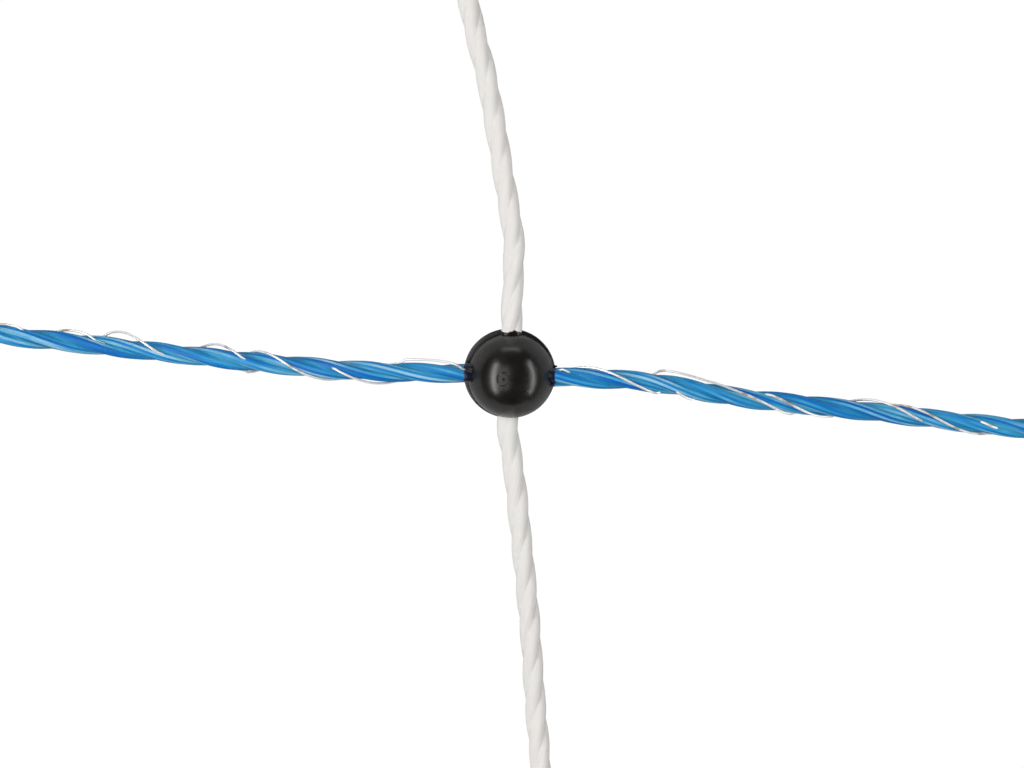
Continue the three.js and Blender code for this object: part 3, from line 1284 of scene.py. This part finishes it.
@dataclass
class Knot:
    """One knot in its place, moulded tight round its two strands."""

    place: KnotPlace
    layout: Layout
    polywire: Strand
    twine: Strand
    film: float = 0.07
    bite: float = 0.05
    root: float = 3.4
    core_half: float = 8.0
    core_step: float = 0.5
    sides: int = 60
    collar_rings: int = 12
    taper_from: float = 0.82
    taper_length: float = 0.18
    frayed: float = 0.09
    port_shift: float = 0.02
    upper_port_reach: float = 0.12
    film_margin: float = 0.04
    film_from: float = 0.93
    smooth_angle: float = 32.0
    first_seed: int = 100

    def collar(self, port: Port, rng: np.random.Generator) -> np.ndarray:
        """A thin skin of plastic along the strand out of a port, longest in the grooves.

        Args:
            port: The port.
            rng: Draws the length of each jag.

        Returns:
            The rings of a closed tube.
        """
        strand = port.strand
        centre = strand.route.run_of(self.place)
        mouth = np.full((1, self.sides), centre + port.way * port.reach)
        angle = TURN * np.arange(self.sides)[None, :] / self.sides
        jags = strand.groove(mouth, angle)[0] * rng.uniform(0.5, 1.0, self.sides) * port.jag
        end = port.reach + port.flush + jags + rng.uniform(0, self.frayed, self.sides)
        share = np.linspace(0, 1, self.collar_rings)[:, None]
        run = centre + port.way * (self.root + share * (end - self.root))
        if port.way < 0:
            run = run[::-1]
            share = share[::-1]
        taper = ease(share - self.taper_from, self.taper_length)
        skin = self.film - (self.film + 2 * self.bite) * taper
        return strand.section_rings(run, skin, self.sides)

    def core(self, strand: Strand) -> np.ndarray:
        """The strand's own space in the knot, a little smaller than the strand.

        Args:
            strand: The strand.

        Returns:
            The rings of a closed tube.
        """
        centre = strand.route.run_of(self.place)
        reach = min(self.core_half, strand.route.half + 1 - abs(centre))
        run = centre + np.arange(-reach, reach + self.core_step, self.core_step)
        return strand.section_rings(run, -self.bite, self.sides)

    def is_film(self, face: bpy.types.MeshPolygon) -> bool:
        """Whether a face, in the knot's own frame, is the thin skin over the polywire."""
        x, y, z = face.center
        half = self.layout.knot_width / 2
        beside = math.hypot(y, z - self.layout.polywire_rise)
        ball = (x / half) ** 2 + (y / half) ** 2 + (z / (self.layout.knot_depth / 2)) ** 2
        reach = self.polywire.radius + self.film + self.film_margin
        return beside < reach and ball > self.film_from

    def build(self, master: bpy.types.Object, finishes: list[bpy.types.Material]) -> bpy.types.Object:
        """Copies the moulded ball to its place, bores it and dresses it.

        Args:
            master: The ball from the mould.
            finishes: The plastic, and its film over the polywire.

        Returns:
            The finished piece.
        """
        seed = self.first_seed + 10 * self.place.row.value + self.place.column.value
        rng = np.random.default_rng(seed)
        knot = bpy.data.objects.new(self.place.node, master.data.copy())
        bpy.context.scene.collection.objects.link(knot)
        stand = Matrix.Translation((*self.place.centre, self.layout.knot_centre))
        stand @= Matrix.Rotation(math.radians(self.place.turn), 4, "Z")
        knot.data.transform(stand)
        width, length = self.layout.knot_width / 2, self.layout.knot_length / 2
        ports = [
            Port(self.polywire, -1, width + self.port_shift),
            Port(self.polywire, 1, width - self.port_shift),
            Port(self.twine, -1, length, jag=0.12),
            Port(self.twine, 1, length + self.upper_port_reach, jag=0.4),
        ]
        for port in ports:
            Bench.combine(knot, Bench.solid("collar", self.collar(port, rng)), "UNION")
            Bench.clean(knot)
        for strand in (self.polywire, self.twine):
            Bench.combine(knot, Bench.solid("core", self.core(strand)), "DIFFERENCE")
        Bench.clean(knot)
        mesh = knot.data
        mesh.materials.clear()
        for finish in finishes:
            mesh.materials.append(finish)
        mesh.transform(stand.inverted())
        for face in mesh.polygons:
            face.material_index = int(self.is_film(face))
        mesh.transform(Matrix.Scale(MM, 4) @ stand)
        Bench.pick(knot)
        bpy.ops.object.shade_smooth_by_angle(angle=math.radians(self.smooth_angle))
        bpy.data.objects.remove(knot)
        return finish_piece(mesh, finishes[0], self.place.node)


@dataclass
class Netting:
    """The whole piece of netting: its strands, wires and knots."""

    layout: Layout = field(default_factory=Layout)
    polywire_radius: float = 1.3
    polywire_lay: float = 19.8
    polywire_filaments: int = 24
    twine_radius: float = 1.42
    twine_lay: float = 16.3
    twine_fibres: int = 24
    twine_raised: float = 0.07

    def polywire(self, row: Row) -> Strand:
        """The polywire of a row."""
        plan = ROW_PLANS[row]
        knots = [self.layout.place(row, column) for column in Column]
        route = Route(self.layout, knots, Lies.ALONG, plan.bows)
        return Strand(
            node=f"polywire_{row.word}", slot=Slot.POLYWIRE, route=route, radius=self.polywire_radius,
            lay=self.polywire_lay, ply_angle=plan.ply_angle, roundness=0.6,
            filament_count=self.polywire_filaments, flute=0.035, fibre_twist=0.62,
            seed=11 + row.value,
        )

    def twine(self, column: Column) -> Strand:
        """The twine of a column."""
        plan = COLUMN_PLANS[column]
        knots = [self.layout.place(row, column) for row in Row]
        route = Route(self.layout, knots, Lies.ACROSS, plan.bows, raised=self.twine_raised)
        return Strand(
            node=f"twine_{column.word}", slot=Slot.TWINE, route=route, radius=self.twine_radius,
            lay=self.twine_lay, ply_angle=plan.ply_angle, roundness=0.7,
            filament_count=self.twine_fibres, flute=0.012, fibre_twist=0.7,
            seed=41 + column.value, steps_per_lay=30, points_per_filament=3,
        )

    def build(self) -> None:
        """Builds and dresses every piece."""
        polywires = {row: self.polywire(row) for row in Row}
        twines = {column: self.twine(column) for column in Column}
        blue = PolywireFinish(self.polywire_filaments).material()
        white = TwineFinish().material()
        steel = WireFinish().material()
        black = KnotFinish().material()
        film = KnotFinish(
            name="plastic_film_over_blue", plain=(0.002, 0.003, 0.013), worn=(0.004, 0.006, 0.026),
            roughness=(0.25, 0.4),
        ).material()
        for row, strand in polywires.items():
            strand.build(blue)
            laid = MIDDLE_WIRES if row is Row.MIDDLE else (None, None, None)
            for number, wire in enumerate(laid, start=1):
                Conductor(f"conductor_{row.word}_{number}", strand, number, wire).build(steel)
        for strand in twines.values():
            strand.build(white)
        master = KnotMould(self.layout).mould()
        for row in Row:
            for column in Column:
                place = self.layout.place(row, column)
                Knot(place, self.layout, polywires[row], twines[column]).build(master, [black, film])
        bpy.data.objects.remove(master)


@dataclass
class Softbox:
    """A flat rectangular studio light, in metres, aimed at the middle knot."""

    name: str
    toward: tuple[float, float, float]
    width: float
    height: float
    radiance: float
    distance: float = 0.6
    in_reflections: bool = True

    def build(self, target: Vector) -> None:
        """Hangs the light."""
        light = bpy.data.lights.new(self.name, "AREA")
        light.shape = "RECTANGLE"
        light.size = self.width
        light.size_y = self.height
        light.energy = self.radiance * math.pi * self.width * self.height
        holder = bpy.data.objects.new(self.name, light)
        bpy.context.scene.collection.objects.link(holder)
        away = Vector(self.toward).normalized()
        holder.location = target + away * self.distance
        across = Vector((0, 1, 0)).cross(away).normalized()
        holder.rotation_euler = Matrix((across, away.cross(across), away)).transposed().to_euler()
        holder.visible_glossy = self.in_reflections


@dataclass
class Studio:
    """The camera, the pale table and the soft lights, in metres and degrees."""

    lean: float = 8.0
    distance: float = 0.6
    lens: float = 168.75
    sensor: float = 36.0
    aim_right: float = 0.3 * MM
    aim_down: float = 1.3 * MM
    table_size: float = 4.0
    table_tone: float = 0.42
    table_variation: float = 1.04
    table_patch_scale: float = 40.0
    table_patch_places: tuple[float, float] = (0.3, 0.7)
    table_roughness: float = 0.9
    seen_white: float = 1.02
    surround: float = 0.04
    seen_surround: float = 0.95

    def camera(self, target: Vector) -> None:
        """Stands the camera where the photo was taken from.

        Args:
            target: The middle knot's centre.
        """
        lean = math.radians(self.lean)
        back = Vector((0, math.sin(lean), math.cos(lean)))
        up = Vector((0, math.cos(lean), -math.sin(lean)))
        data = bpy.data.cameras.new("camera")
        data.lens = self.lens
        data.sensor_width = self.sensor
        data.clip_start = 0.01
        camera = bpy.data.objects.new("camera", data)
        bpy.context.scene.collection.objects.link(camera)
        aim = target + Vector((self.aim_right, 0, 0)) - up * self.aim_down
        camera.location = aim + back * self.distance
        camera.rotation_euler = Matrix(((1, 0, 0), up, back)).transposed().to_euler()
        bpy.context.scene.camera = camera

    def table(self) -> None:
        """Lays the pale table, which the camera sees as plain white without shadows."""
        table = Bench.added(bpy.ops.mesh.primitive_plane_add, size=self.table_size)
        table.name = "table"
        material, nodes, shader = new_material("pale_table")
        place = nodes.add("TexCoord").outputs["Object"]
        patches = nodes.noise(place, self.table_patch_scale)
        tones = ((self.table_tone,) * 3, (self.table_tone * self.table_variation,) * 3)
        colour = nodes.ramp(patches, self.table_patch_places, tones)
        nodes.feed(shader.inputs["Base Color"], colour)
        shader.inputs["Roughness"].default_value = self.table_roughness
        glow = nodes.add("Emission")
        glow.inputs["Strength"].default_value = self.seen_white
        seen = nodes.add("LightPath")
        both = nodes.add("MixShader")
        nodes.feed(both.inputs[0], seen.outputs["Is Camera Ray"])
        nodes.feed(both.inputs[1], shader.outputs[0])
        nodes.feed(both.inputs[2], glow.outputs[0])
        output = nodes.tree.nodes["Material Output"]
        nodes.feed(output.inputs["Surface"], both.outputs[0])
        table.data.materials.append(material)

    def world(self) -> None:
        """Darkens the room, though the camera sees it as pale as the table."""
        world = bpy.data.worlds.new("studio")
        bpy.context.scene.world = world
        world.use_nodes = True
        nodes = Nodes(world.node_tree)
        background = world.node_tree.nodes["Background"]
        seen = nodes.add("LightPath").outputs["Is Camera Ray"]
        pale, dim = (self.seen_surround,) * 3, (self.surround,) * 3
        nodes.feed(background.inputs["Color"], nodes.mix(seen, dim, pale))

    def lights(self, target: Vector) -> None:
        """Hangs the softboxes.

        Args:
            target: What they are aimed at.
        """
        for box in (
            Softbox("left_softbox", (-0.40, 0.0, 1.0), 0.36, 0.8, 1.3),
            Softbox("left_strip", (-1.15, 0.0, 1.0), 0.11, 1.0, 9.5),
            Softbox("right_strip", (2.0, 0.0, 1.0), 0.06, 1.0, 12.0),
            Softbox("far_strip", (0.0, 1.0, 0.045), 0.4, 0.04, 6.0),
            Softbox("near_strip", (0.0, -1.0, 0.03), 0.9, 0.04, 1.6),
            Softbox("overhead_fill", (0.0, 0.14, 1.0), 0.5, 0.5, 2.0, in_reflections=False),
        ):
            box.build(target)

    def build(self, target: Vector) -> None:
        """Sets up the whole studio.

        Args:
            target: The middle knot's centre.
        """
        self.camera(target)
        self.table()
        self.world()
        self.lights(target)
        bpy.context.scene.view_settings.view_transform = "Standard"


def main() -> None:
    """Builds the netting and the studio."""
    logging.basicConfig(level=logging.INFO, format="%(message)s")
    netting = Netting()
    netting.build()
    low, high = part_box("knot_middle_centre")
    Studio().build(Vector(((low.x + high.x) / 2, (low.y + high.y) / 2, netting.layout.knot_centre * MM)))


if __name__ == "__main__":
    main()
